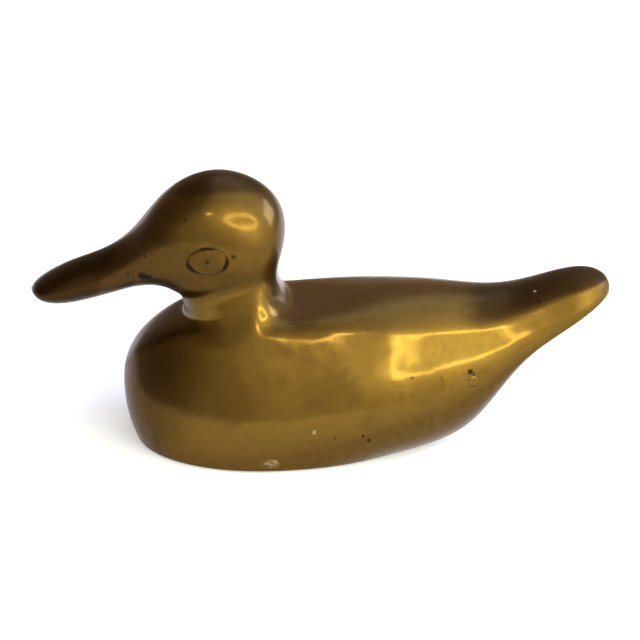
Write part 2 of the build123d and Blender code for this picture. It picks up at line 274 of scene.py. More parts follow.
class Skin:
    """Points and faces of one piece while it is put together, in millimetres."""

    def __init__(self):
        self.points, self.faces, self.count = [], [], 0

    def add(self, points):
        """Adds points and returns their numbers, in the same rows."""
        points = np.asarray(points, float)
        numbers = self.count + np.arange(points[..., 0].size).reshape(points.shape[:-1])
        self.points.append(points.reshape(-1, 3))
        self.count += numbers.size
        return numbers

    def bands(self, rows):
        """Closed bands of faces from each row of numbers to the next."""
        for low, high in zip(rows, rows[1:]):
            for k in range(len(low)):
                n = (k + 1) % len(low)
                self.faces.append((low[k], low[n], high[n], high[k]))

    def fan(self, row, tip):
        """Faces from a closed row of numbers to one point."""
        number = self.add([tip])[0]
        for k in range(len(row)):
            self.faces.append((row[k], row[(k + 1) % len(row)], number))

    def grid(self, numbers, blocks):
        """Faces between rows closed round their ends, but for the blocks left open for patches."""
        rows, columns = numbers.shape
        left_open = np.zeros((rows, columns), bool)
        for i0, i1, j0, j1 in blocks:
            left_open[i0:i1, j0:j1] = True
        for i in range(rows - 1):
            for j in range(columns):
                n = (j + 1) % columns
                if not left_open[i, j]:
                    self.faces.append((numbers[i, j], numbers[i + 1, j], numbers[i + 1, n], numbers[i, n]))

    def patch(self, rows, border):
        """Closed rows of points, from the innermost to the border's numbers."""
        numbers = [self.add(row) for row in rows] + [border]
        self.bands(numbers)
        return numbers

    def array(self):
        return np.concatenate(self.points)


def block_border(numbers, block):
    """Numbers round a block of the grid, in order."""
    i0, i1, j0, j1 = block
    loop = [(i, j0) for i in range(i0, i1)] + [(i1, j) for j in range(j0, j1)]
    loop += [(i, j1) for i in range(i1, i0, -1)] + [(i0, j) for j in range(j1, j0, -1)]
    return np.array([numbers[i, j] for i, j in loop])


def neighbours(faces):
    """Each pair of points that share an edge, once."""
    pairs = []
    for corners in (3, 4):
        some = np.array([face for face in faces if len(face) == corners])
        pairs.append(np.stack([some, np.roll(some, -1, axis=1)], -1).reshape(-1, 2))
    return np.unique(np.sort(np.concatenate(pairs), axis=1), axis=0)


def relax(points, pairs, freedom, passes):
    """Evens out the curvature of a skin by moving each point towards its neighbours' mean."""
    a, b = pairs.T
    size = len(points)
    count = np.maximum(np.bincount(pairs.ravel(), minlength=size), 1)
    for _ in range(passes):
        sums = [np.bincount(a, points[b, k], size) + np.bincount(b, points[a, k], size) for k in range(3)]
        points = mix(points, np.stack(sums, axis=-1) / count[:, None], freedom[:, None])
    return points


def add_object(name, data):
    item = bpy.data.objects.new(name, data)
    bpy.context.collection.objects.link(item)
    return item


def to_piece(name, points, faces):
    """New piece from points in millimetres, with smooth shading and outward faces."""
    used = np.unique(np.concatenate([np.ravel(f) for f in faces]))
    number = np.full(len(points), -1)
    number[used] = np.arange(len(used))
    mesh = bpy.data.meshes.new(name)
    mesh.from_pydata((points[used] * MM).tolist(), [], [number[list(f)].tolist() for f in faces])
    form = bmesh.new()
    form.from_mesh(mesh)
    bmesh.ops.recalc_face_normals(form, faces=form.faces)
    form.to_mesh(mesh)
    form.free()
    mesh.shade_smooth()
    return add_object(name, mesh)


def coordinates(mesh):
    values = np.empty(len(mesh.vertices) * 3)
    mesh.vertices.foreach_get("co", values)
    return values.reshape(-1, 3) / MM


def normals(mesh):
    values = np.empty(len(mesh.vertices) * 3)
    mesh.vertex_normals.foreach_get("vector", values)
    return values.reshape(-1, 3)


def set_coordinates(mesh, points):
    mesh.vertices.foreach_set("co", (points * MM).ravel())
    mesh.update()


Plug = namedtuple("Plug", "name hand x z radius depth")
plugs = [
    Plug(f"{place}_{side}", hand, x, z, diameter / 2, depth)
    for place, x, z, diameter, depth in CORE_HOLES for side, hand in SIDES.items()
]


def hairline(points, plug):
    """How far each point sinks into the hairline round a plug."""
    away = np.hypot(points[:, 0] - plug.x, points[:, 2] - plug.z) - plug.radius
    return np.where(plug.hand * points[:, 1] > 0, plug.depth * np.exp(-(away / HAIRLINE_WIDTH) ** 2), 0)


# Body skin: a grid of stations and lines, with patches for the neck's foot and the core holes
stations = np.linspace(0, 1, BODY_STATIONS + 1)[1:-1]
body_x = mix(CHEST_X, TAIL_X, (1 - np.cos(np.pi * stations)) / 2)
body_v = np.linspace(-1, 1, 2 * BODY_LINES + 1)[:-1]
body = Skin()
body_grid = body.add(body_point(body_x[:, None], body_v[None, :]))


def body_block(x0, x1, v0, v1):
    """Block of the body's grid between two places along it and two round it."""
    return (*np.searchsorted(body_x, (x0, x1)), *np.searchsorted(body_v, (v0, v1)))


def hole_block(plug):
    """Block of the body's grid round a core hole."""
    v = np.linspace(0, LOWEST_V, HOLE_TABLE)
    heights = body_point(np.full(HOLE_TABLE, plug.x), v)[:, 2]
    margin = plug.radius + HOLE_MARGIN
    v_high, v_low = np.interp([-plug.z - margin, -plug.z + margin], -heights, v)
    v0, v1 = sorted((plug.hand * v_high, plug.hand * v_low))
    return body_block(plug.x - margin, plug.x + margin, v0, v1)


def neck_foot(edge_points):
    """Rows down the neck, round a flared blend and out over the back, and how sideways each line runs."""
    edge_x, edge_y = edge_points[:, 0], edge_points[:, 1]
    spread = np.where(edge_x > NECK_X, edge_x.max() - NECK_X, NECK_X - edge_x.min())
    around = np.arctan2(edge_y / np.abs(edge_y).max(), (edge_x - NECK_X) / spread)
    cosine, sine = np.cos(around), np.sin(around)
    rear, hand = cosine > 0, np.where(sine < 0, -1, 1)
    off_corner = np.abs(around) - NECK_CORNER
    corner = np.exp(-((off_corner / np.where(off_corner < 0, NECK_CORNER_NAPE, NECK_CORNER_SIDE)) ** 2))
    reach = np.where(rear, NECK_BLEND_NAPE + NECK_CORNER_REACH * corner, NECK_BLEND_THROAT)
    square = np.where(rear, NECK_BLEND_SQUARE_REAR, NECK_BLEND_SQUARE_FRONT)
    reach_x = reach * np.sign(cosine) * np.abs(cosine) ** square
    reach_y = NECK_BLEND_SIDE * np.abs(sine) ** square

    def on_back(scale):
        return body_through(NECK_X + reach_x * scale, reach_y * scale, 1, hand)

    foot = on_back(1)
    outward = unit(on_back(1 + BACK_STEP) - foot)
    leave = mix(NECK_LEAVE_SIDE, np.where(rear, NECK_LEAVE_NAPE, NECK_LEAVE_THROAT), cosine**2)
    leave += NECK_CORNER_RISE * corner
    start = head_point(leave, around)
    downward = unit(head_point(leave - NECK_STEP, around) - start)
    span = np.linalg.norm(foot - start, axis=1, keepdims=True)
    pulls = start + downward * span * NECK_PULL, foot - outward * span * BACK_PULL
    rows = [head_point(mix(NECK_JOINT, leave, t), around) for t in np.linspace(0, 1, NECK_ROWS)]
    rows += [bezier(start, *pulls, foot, t) for t in np.linspace(0, 1, BLEND_ROWS)[1:]]
    for t in np.linspace(0, 1, SPREAD_ROWS)[1:-1]:
        x, y = mix(NECK_X + reach_x, edge_x, t), mix(reach_y, np.abs(edge_y), t)
        rows.append(body_through(x, y, 1, hand))

    # The rear corners swell out into the shoulders
    swell = SWELL * np.exp(-(((np.abs(around) - SWELL_PLACE) / SWELL_WIDTH) ** 2))
    facing_y = np.sign(around) * np.cos(SWELL_FACING)
    facing = np.stack([np.full_like(around, np.sin(SWELL_FACING)), facing_y, np.zeros_like(around)], -1)
    for row in range(1, len(rows)):
        fade = (SWELL_LAST_ROW - row) / (SWELL_LAST_ROW - SWELL_FULL_ROW)
        share = np.clip(min(row / SWELL_FULL_ROW, fade), 0, 1)
        rows[row] = rows[row] + facing * (swell * share * share * (3 - 2 * share))[:, None]
    return rows, np.abs(sine) ** FOOT_SIDE_POWER


def core_hole(plug, edge_points):
    """Rows from the rim of a core hole out to the edge of its block."""
    around = np.arctan2(edge_points[:, 2] - plug.z, edge_points[:, 0] - plug.x)
    ring = np.stack([plug.x + plug.radius * np.cos(around), plug.z + plug.radius * np.sin(around)], -1)
    rows = []
    for t in HOLE_ROWS:
        seen = mix(ring, edge_points[:, [0, 2]], t)
        rows.append(body_through(seen[:, 0], seen[:, 1], 2, plug.hand))
    return rows


neck_block = body_block(*NECK_BLEND_BLOCK)
hole_blocks = [hole_block(plug) for plug in plugs]
body.grid(body_grid, [neck_block, *hole_blocks])
body.fan(body_grid[0], (CHEST_X, 0, CHEST_Z))
body.fan(body_grid[-1], (TAIL_X - TAIL_TIP_SETBACK, 0, TAIL_Z))
border = block_border(body_grid, neck_block)
foot_rows, foot_side = neck_foot(body.array()[border])
foot_numbers = body.patch(foot_rows, border)
hole_rings = []
for plug, block in zip(plugs, hole_blocks):
    border = block_border(body_grid, block)
    hole_rings.append(body.patch(core_hole(plug, body.array()[border]), border)[0])

# The body is evened out all over but for its open edges, then the sides of the neck's foot once more
body_pairs = neighbours(body.faces)
freedom = np.full(body.count, EVENING)
for ring in (foot_numbers[0], *hole_rings):
    freedom[ring] = 0
body_points = relax(body.array(), body_pairs, freedom, BODY_PASSES)
freedom[:] = 0
for row, numbers in enumerate(foot_numbers[:-1]):
    share = np.clip(min(row - FOOT_FIRST_ROW, FOOT_LAST_ROW - row) / FOOT_FADE_ROWS, 0, 1)
    freedom[numbers] = EVENING * foot_side * share
body_points = relax(body_points, body_pairs, freedom, FOOT_PASSES)
body_skin = to_piece("body_skin", body_points, body.faces)
points = coordinates(body_skin.data)
sink = sum(hairline(points, plug) for plug in plugs)
set_coordinates(body_skin.data, points - normals(body_skin.data) * sink[:, None])


def open_loop(form, height):
    """Points in order round the open edge of a form below a height."""
    edges = [e for e in form.edges if len(e.link_faces) == 1 and max(v.co.z for v in e.verts) < height]
    edges_at = {}
    for edge in edges:
        for vertex in edge.verts:
            edges_at.setdefault(vertex, []).append(edge)
    edge = edges[0]
    loop = [edge.verts[0]]
    while True:
        vertex = edge.other_vert(loop[-1])
        if vertex is loop[0]:
            return loop
        loop.append(vertex)
        edge = next(e for e in edges_at[vertex] if e is not edge)


def cut_rim(mesh):
    """Cuts the body level at its rim, with a worn edge, a flat underside and the wall of the rebate."""
    form = bmesh.new()
    form.from_mesh(mesh)
    for step in RIM_STEPS:
        everything = form.verts[:] + form.edges[:] + form.faces[:]
        level = (0, 0, (RIM_Z + step) * MM)
        bmesh.ops.bisect_plane(
            form, geom=everything, dist=1e-7, plane_co=level, plane_no=(0, 0, 1), clear_inner=step == 0,
        )
    form.normal_update()
    for vertex in form.verts:
        below = RIM_Z + RIM_ROUND - vertex.co.z / MM
        if below > RIM_LEAST_DROP and vertex.normal.xy.length > RIM_LEAST_SLOPE:
            worn = RIM_ROUND - math.sqrt(max(RIM_ROUND**2 - below**2, 0))
            vertex.co.xy -= vertex.normal.xy.normalized() * worn * MM

    # The rim's inner edge lies square in from its outer one
    loop = open_loop(form, (RIM_Z + RIM_TOLERANCE) * MM)
    plan = np.array([v.co.xy for v in loop])
    along = np.roll(plan, -RIM_POINTS_ASIDE, axis=0) - np.roll(plan, RIM_POINTS_ASIDE, axis=0)
    inward = unit(np.stack([-along[:, 1], along[:, 0]], -1))
    if ((plan - plan.mean(axis=0)) * inward).sum() > 0:
        inward = -inward
    inner = plan + inward * (RIM_WIDTH - RIM_ROUND) * MM
    rings = [loop]
    for height in (RIM_Z, LEDGE_Z):
        rings.append([form.verts.new((x, y, height * MM)) for x, y in inner])
    for low, high in zip(rings, rings[1:]):
        for k in range(len(low)):
            n = (k + 1) % len(low)
            form.faces.new((low[k], low[n], high[n], high[k])).smooth = True
    bmesh.ops.recalc_face_normals(form, faces=form.faces)
    form.to_mesh(mesh)
    form.free()


cut_rim(body_skin.data)


# Plugs
def plug_cap(plug):
    """Cap that stands flush in a core hole, with a short wall behind its edge."""
    around = np.linspace(0, 2 * np.pi, CAP_SIDES + 1)[:-1]
    rows = []
    for share in CAP_ROWS:
        radius = share * (plug.radius - CAP_CLEARANCE)
        x, z = plug.x + radius * np.cos(around), plug.z + radius * np.sin(around)
        rows.append(body_through(x, z, 2, plug.hand))
    wall = rows[0] - [0, plug.hand * CAP_WALL, 0]
    cap = Skin()
    numbers = [cap.add(row) for row in (wall, *rows)]
    cap.bands(numbers)
    cap.fan(numbers[-1], body_through(np.array([plug.x]), [plug.z], 2, plug.hand)[0])
    piece = to_piece(f"plug_cap_{plug.name}", cap.array(), cap.faces)
    points = coordinates(piece.data)
    face = points[len(wall):]
    face[:, 1] -= plug.hand * hairline(face, plug)
    set_coordinates(piece.data, points)
    return piece


plug_caps = [plug_cap(plug) for plug in plugs]


# Head skin: a grid of stations evenly spaced along crown and throat, with an oval patch round each eye
def travelled(x, z):
    """Length of a line of points up to each of them."""
    return np.concatenate([[0], np.cumsum(np.hypot(np.diff(x), np.diff(z)))])


dense = np.linspace(NECK_JOINT, LAST_BILL_STATION, TRAVEL_TABLE)
along_crown = travelled(crown_x(dense), crown_z(dense))
along_throat = travelled(throat_x(dense), throat_z(dense))
travel = CROWN_SHARE * along_crown + (1 - CROWN_SHARE) * along_throat
head_s = np.interp(np.linspace(0, travel[-1], HEAD_STATIONS), travel, dense)
head_angle = np.linspace(-np.pi, np.pi, HEAD_LINES_ROUND + 1)[:-1]
head_grid_points = head_point(head_s[:, None], head_angle[None, :])
head = Skin()
head_grid = head.add(head_grid_points)


def eye_local(x, z):
    """Place along and up the tilted eye."""
    dx, dz = x - EYE_X, z - EYE_Z
    cosine, sine = math.cos(EYE_TILT), math.sin(EYE_TILT)
    return dx * cosine + dz * sine, dz * cosine - dx * sine


def eye_block(hand):
    """Block of the head's grid round the eye on one hand."""
    along, up = eye_local(head_grid_points[..., 0], head_grid_points[..., 2])
    inside = np.hypot(along / EYE_PATCH_LENGTH, up / EYE_PATCH_HEIGHT) < 1
    rows, columns = np.nonzero(inside & (hand * head_grid_points[..., 1] > 0))
    return rows.min(), rows.max(), columns.min(), columns.max()


def eye_rows(hand, edge_points):
    """Rows from near the middle of an eye out to the edge of its block."""
    along, up = eye_local(edge_points[:, 0], edge_points[:, 2])
    around = np.arctan2(up / EYE_HALF_HEIGHT, along / EYE_HALF_LENGTH)
    cosine, sine = math.cos(EYE_TILT), math.sin(EYE_TILT)
    seen = []
    for scale in EYE_ROWS:
        p, q = scale * EYE_HALF_LENGTH * np.cos(around), scale * EYE_HALF_HEIGHT * np.sin(around)
        seen.append(np.stack([EYE_X + p * cosine - q * sine, EYE_Z + p * sine + q * cosine], -1))
    seen += [mix(seen[-1], edge_points[:, [0, 2]], t) for t in EYE_OUTER_ROWS]
    return [head_through(ring[:, 0], ring[:, 1], hand) for ring in seen]


def engrave_eyes(mesh):
    """Sinks the line of both eyes and their dots into the head's skin."""
    points = coordinates(mesh)
    along, up = eye_local(points[:, 0], points[:, 2])
    scale = np.hypot(along / EYE_HALF_LENGTH, up / EYE_HALF_HEIGHT)
    off_line = (scale - 1) * np.hypot(along, up) / np.maximum(scale, 1e-6)
    strength = 1 - EYE_DEPTH_CHANGE + EYE_DEPTH_CHANGE * np.cos(np.arctan2(up, along) - EYE_DEEPEST)
    sink = EYE_DEPTH * strength * np.exp(-(off_line / EYE_LINE) ** 2)
    for (dot_along, dot_up), width in (((0, 0), PUPIL_WIDTH), (EYE_CORNER, EYE_CORNER_WIDTH)):
        sink += EYE_DEPTH * np.exp(-(np.hypot(along - dot_along, up - dot_up) / width) ** 2)
    sink *= (np.abs(points[:, 1]) > EYE_LEAST_Y) & (scale < EYE_LAST_SCALE)
    set_coordinates(mesh, points - normals(mesh) * sink[:, None])


eye_blocks = {hand: eye_block(hand) for hand in SIDES.values()}
head.grid(head_grid, eye_blocks.values())
(bill_x, bill_z), _, _ = HEAD_LINES[-1]
head.fan(head_grid[-1], (bill_x, 0, bill_z))
for hand, block in eye_blocks.items():
    border = block_border(head_grid, block)
    numbers = head.patch(eye_rows(hand, head.array()[border]), border)
    head.fan(numbers[0], head_through(np.array([EYE_X]), np.array([EYE_Z]), hand)[0])
freedom = np.full(head.count, EVENING)
freedom[head_grid[0]] = 0
head_points = relax(head.array(), neighbours(head.faces), freedom, HEAD_PASSES)
head_skin = to_piece("head_skin", head_points, head.faces)
engrave_eyes(head_skin.data)


# Materials
class Graph:
    """Short ways to build the nodes of a material or a world."""

    def __init__(self, owner):
        self.owner = owner
        owner.use_nodes = True
        self.tree = owner.node_tree
        self.tree.nodes.clear()

    def node(self, kind, inputs=(), **settings):
        node = self.tree.nodes.new("ShaderNode" + kind)
        for key, value in settings.items():
            setattr(node, key, value)
        for key, value in dict(inputs).items():
            self.put(node.inputs[key], value)
        return node

    def put(self, socket, value):
        if isinstance(value, bpy.types.NodeSocket):
            self.tree.links.new(value, socket)
        else:
            socket.default_value = value

    def math(self, operation, a, b=0.0, clamp=False):
        return self.node("Math", {0: a, 1: b}, operation=operation, use_clamp=clamp).outputs[0]

    def chain(self, operation, first, *others):
        for other in others:
            first = self.math(operation, first, other)
        return first

    def add(self, *values):
        return self.chain("ADD", *values)

    def minus(self, a, b):
        return self.math("SUBTRACT", a, b)

    def times(self, *values):
        return self.chain("MULTIPLY", *values)

    def most(self, *values):
        return self.chain("MAXIMUM", *values)

    def vector(self, operation, a, b, output=0):
        return self.node("VectorMath", {0: a, 1: b}, operation=operation).outputs[output]

    def scaled(self, vector, factor):
        return self.node("VectorMath", {0: vector, "Scale": factor}, operation="SCALE").outputs[0]

    def split(self, vector):
        return self.node("SeparateXYZ", {0: vector}).outputs[:]

    def ramp(self, value, low, high, to_low=0.0, to_high=1.0):
        """Soft step between two values, either way round."""
        inputs = {"Value": value, "From Min": low, "From Max": high, "To Min": to_low, "To Max": to_high}
        return self.node("MapRange", inputs, interpolation_type="SMOOTHSTEP").outputs[0]

    def lobe(self, cosine, tightness):
        """Soft spot that is full where a cosine is 1."""
        return self.math("EXPONENT", self.times(self.minus(cosine, 1.0), tightness))

    def oval(self, places, halves, power=2):
        """Root of the sum of squared places, each over a power of the oval's half size."""
        pairs = zip(places, halves)
        parts = [self.math("DIVIDE", self.math("POWER", place, 2.0), half**power) for place, half in pairs]
        return self.math("SQRT", self.add(*parts))

    def noise(self, place, scale, detail=2.0, rough=0.5, distort=0.0):
        inputs = {"Vector": place, "Scale": scale, "Detail": detail}
        inputs |= {"Roughness": rough, "Distortion": distort}
        return self.node("TexNoise", inputs).outputs["Fac"]

    def wander(self, noise, size):
        """Noise brought down to lie about 0, at a size."""
        return self.times(self.minus(noise, 0.5), size)

    def bump(self, height, strength, distance):
        return self.node("Bump", {"Strength": strength, "Distance": distance, "Height": height}).outputs[0]

    def blend(self, share, a, b):
        """Mix of two colours."""
        node = self.node("Mix", data_type="RGBA")
        for key, value in ((0, share), (6, a), (7, b)):
            self.put(node.inputs[key], value)
        return node.outputs[2]

    def finish(self, shader, output="OutputMaterial"):
        self.node(output, {"Surface": shader})
        return self.owner


def new_material(name):
    return Graph(bpy.data.materials.new(name))


def colour(r, g, b):
    return (r, g, b, 1.0)


POLISHED = colour(0.188, 0.107, 0.0185)
WARM = colour(0.210, 0.122, 0.0220)
# The dark brown serves tarnished zones and pits, and also paints shade on the crown's and tail's tops, the
# low flank and undersides
TARNISH_AND_SHADE_COLOUR = colour(0.072, 0.037, 0.0095)
DARK_SPOT = colour(0.016, 0.008, 0.004)
EYE_DIRT = colour(0.024, 0.012, 0.005)
RESIDUE = colour(0.42, 0.31, 0.14)

# Noises of the brass as (features in a millimetre, detail, roughness)
BROAD, CLOUD, MOTTLE, FINE = (0.06, 3.0, 0.55), (0.22, 4.0, 0.6), (0.45, 4.0, 0.65), (1.6, 3.0, 0.6)
WAVES, SCRATCHES, HAZE = (0.12, 1.0, 0.5), (1.6, 3.0, 0.65), (30.0, 1.0, 0.5)
STREAKS, BREAKS = (0.9, 5.0, 0.7), (0.9, 2.0, 0.5)
SHAKE_SCALE, SHAKE = 1.1, 0.9

# Tarnish by zone, and painted shade on the crown's and tail's up-facing tops, the low flank and undersides:
# where it sets in and where it is full, in millimetres or by how far a surface faces up
HEAD_TILT, HEAD_REACH, CROWN_FACING = -0.25, (50.0, 56.0), (0.66, 0.86)
FACE_TILT, FACE_REACH = 0.5, (52.0, 40.0)
BILL_TILT, BILL_LEVEL, BILL_REACH, BILL_EDGE = -0.55, 50.0, (-57.0, -60.5), (38.5, 43.0, 0.45, 1.0)
BREAST_REACH = (-24.0, -50.0)
LOW_REACH, LOW_ALONG = (17.0, 8.0), (34.0, -8.0)
TAIL_REACH, TAIL_FACING = (36.0, 48.0), (0.50, 0.78)
UNDER_FACING = (0.25, -0.15)
CLOUD_REACH, CLOUD_IN_BROAD, RAGGEDNESS = (0.62, 1.0), 0.5, 7.0
# The crown, low, tail and under shares are painted shade: darker up-facing tops, low flank and down-facing
# undersides in place of dark reflections
TARNISH_AND_SHADE_SHARES = {
    "clouds": 0.35, "head": 0.50, "face": 0.80, "crown": 0.98, "bill": 1.15,
    "breast": 0.92, "low": 0.38, "tail": 1.10, "under": 0.60,
}
MOTTLE_SHARE = 0.55

# Small marks on the near side as (x, y, z, radius) in millimetres: dark spots, then pale specks
SPOTS = [
    (-48.6, -11.4, 50.5, 1.5), (-47.2, -11.6, 50.1, 1.3), (-52.9, -10.4, 50.6, 0.5),
    (-47.5, -12.6, 57.0, 0.55), (-36.4, -13.7, 67.9, 0.4), (41.2, -21.3, 26.3, 0.8),
    (42.2, -21.2, 25.5, 0.5), (13.3, -30.3, 9.6, 0.6), (4.1, -31.0, 10.8, 0.35),
    (11.8, -30.5, 11.0, 0.4), (25.1, -25.6, 26.2, 0.4), (30.7, -26.1, 13.6, 0.4),
    (12.2, -27.5, 3.4, 0.4), (60.7, -9.3, 42.4, 0.5), (-44.0, -21.0, 10.0, 0.4),
    (-46.5, -18.7, 13.6, 0.5), (33.0, -24.0, 25.8, 0.22), (33.4, -24.2, 25.2, 0.25),
    (33.6, -24.4, 24.5, 0.25), (33.5, -24.6, 23.8, 0.22),
]
SPECKS = [(-1.6, -31.2, 12.6, 0.55), (59.9, -6.0, 44.1, 0.45)]
MARK_EDGE = (1.25, 0.6)

# Pale residue at the foot of the near flank: its four fading edges in millimetres
RESIDUE_LEFT, RESIDUE_RIGHT = (-25.0, -13.0), (-9.0, -12.0)
RESIDUE_BELOW, RESIDUE_ABOVE = (0.8, 2.0), (6.0, 4.0)
RESIDUE_STRETCH, RESIDUE_EDGE = (0.6, 0.6, 1.2), (0.38, 0.60)

# Dirt in the eye: its darkest stretches as (direction in degrees, tightness), and the edges of line and dots
EYE_DARKEST = [(85, 5.0), (200, 8.0), (345, 14.0)]
EYE_BREAKS, EYE_LINE_EDGE = 0.9, (1.0, 0.35)
EYE_LINE_WIDTH, EYE_LINE_SHARE = (0.0, 1.0, 0.065, 0.16), (0.0, 0.8, 0.35, 0.95)
PUPIL_EDGE, EYE_CORNER_EDGE, DOT_SHARE, EYE_LOWEST_Z = (0.17, 0.07), (0.8, 0.3), 0.75, 47.0

# Warm patches, pits, relief and roughness
WARM_EDGE = (0.3, 0.75)
PIT_SCALE, PIT_EDGE, PIT_CLOUD = 0.9, (0.15, 0.05), (0.52, 0.64)
WAVE_HEIGHT, SCRATCH_HEIGHT, PIT_DEPTH, SCRATCH_STRETCH = 1.2, 0.03, 0.05, (1.6, 1.0, 0.3)
HAZE_ROUGH, TAIL_ROUGH = (0.43, 0.57, 0.12, 0.44), (57.0, 66.0, 0.0, 0.22)
TARNISH_AND_SHADE_ROUGH, MARK_ROUGH = 0.06, 0.3

# How fully each layer covers the brass, how much residue isn't metal, and bumps as (strength, distance)
BILL_SHARE, SPOT_SHARE, PIT_SHARE, RESIDUE_SHARE, RESIDUE_BODY = 0.45, 0.88, 0.60, 0.70, 0.8
BRASS_BUMP, METAL_BUMP, FELT_BUMP = (0.35, 0.4 * MM), (0.2, 0.1 * MM), (0.6, 0.3 * MM)

# The plain metals' grain and the felt's fibres as (features in a metre, detail and so on), and their shades
METAL_GRAIN, FELT_FIBRES, GRAIN_EDGE = (900.0, 3.0), (2500.0, 4.0, 0.7, 1.5), (0.3, 0.7)
METAL_DARKER, FELT_ROUGH = 0.75, 0.95
FELT_SHADES = colour(0.012, 0.05, 0.025), colour(0.04, 0.13, 0.07)


def tarnish_and_shade_zones(g, place, cloud):
    """How tarnished each place is, with painted shade darkening the crown's and tail's up-facing tops, the
    low flank and undersides, and which places are the bill.
    """
    x, _, z = g.split(place)
    up = g.split(g.node("NewGeometry").outputs["Normal"])[2]
    ragged = g.wander(cloud, RAGGEDNESS)
    head = g.ramp(g.add(z, g.times(x, HEAD_TILT)), *HEAD_REACH)
    slant = g.add(x, g.times(g.minus(z, BILL_LEVEL), BILL_TILT), ragged)
    zones = {
        "clouds": g.ramp(g.add(g.noise(place, *BROAD), g.times(cloud, CLOUD_IN_BROAD)), *CLOUD_REACH),
        "head": head,
        "face": g.times(head, g.ramp(g.add(z, g.times(x, FACE_TILT), ragged), *FACE_REACH)),
        # Painted shade: the crown's up-facing top darkened
        "crown": g.times(head, g.ramp(up, *CROWN_FACING)),
        "bill": g.times(g.ramp(slant, *BILL_REACH), g.ramp(z, *BILL_EDGE)),
        "breast": g.ramp(g.add(x, ragged), *BREAST_REACH),
        # Painted shade: the low flank, the tail's up-facing top and the down-facing undersides darkened
        "low": g.times(g.ramp(g.add(z, ragged), *LOW_REACH), g.ramp(x, *LOW_ALONG)),
        "tail": g.times(g.ramp(g.add(x, ragged), *TAIL_REACH), g.ramp(up, *TAIL_FACING)),
        "under": g.ramp(up, *UNDER_FACING),
    }
    tarnish_and_shade = g.most(*(g.times(zone, TARNISH_AND_SHADE_SHARES[name]) for name, zone in zones.items()))
    mottle = g.wander(g.noise(place, *MOTTLE), MOTTLE_SHARE)
    return g.math("ADD", tarnish_and_shade, mottle, clamp=True), zones["bill"]


def marks(g, place, spots):
    """Round marks at a list of places."""
    found = []
    for *centre, radius in spots:
        gap = g.vector("DISTANCE", place, centre, "Value")
        found.append(g.ramp(gap, *(radius * edge for edge in MARK_EDGE)))
    return g.most(*found)


def eye_dirt(g, place):
    """Dirt in the engraved eyes: a broken line, a dot in the middle and one at the corner."""
    x, _, z = g.split(place)
    dx, dz = g.minus(x, EYE_X), g.minus(z, EYE_Z)
    cosine, sine = math.cos(EYE_TILT), math.sin(EYE_TILT)
    along = g.add(g.times(dx, cosine), g.times(dz, sine))
    up = g.minus(g.times(dz, cosine), g.times(dx, sine))
    size = g.oval((along, up), (EYE_HALF_LENGTH, EYE_HALF_HEIGHT))
    direction = g.math("ARCTAN2", up, along)
    lobes = []
    for darkest, tightness in EYE_DARKEST:
        facing = g.math("COSINE", g.minus(direction, math.radians(darkest)))
        lobes.append(g.lobe(facing, tightness))
    breaks = g.wander(g.noise(place, *BREAKS), EYE_BREAKS)
    dark = g.math("ADD", g.most(*lobes), breaks, clamp=True)
    width = g.ramp(dark, *EYE_LINE_WIDTH)
    off_line = g.math("DIVIDE", g.math("ABSOLUTE", g.minus(size, 1.0)), width)
    line = g.times(g.ramp(off_line, *EYE_LINE_EDGE), g.ramp(dark, *EYE_LINE_SHARE))
    flat = g.node("CombineXYZ", {0: along, 1: up}).outputs[0]
    from_corner = g.vector("DISTANCE", flat, (*EYE_CORNER, 0), "Value")
    dots = g.most(g.ramp(size, *PUPIL_EDGE), g.ramp(from_corner, *EYE_CORNER_EDGE))
    dirt = g.most(line, g.times(dots, DOT_SHARE))
    return g.times(dirt, g.math("GREATER_THAN", z, EYE_LOWEST_Z))


def residue_streaks(g, place):
    """Streaky pale residue at the foot of the near flank."""
    x, y, z = g.split(place)
    inside_x = g.times(g.ramp(x, *RESIDUE_LEFT), g.ramp(x, *RESIDUE_RIGHT))
    inside_z = g.times(g.ramp(z, *RESIDUE_BELOW), g.ramp(z, *RESIDUE_ABOVE))
    near_side = g.math("LESS_THAN", y, 0.0)
    streaks = g.noise(g.vector("MULTIPLY", place, RESIDUE_STRETCH), *STREAKS)
    return g.ramp(g.times(inside_x, inside_z, near_side, streaks), *RESIDUE_EDGE)


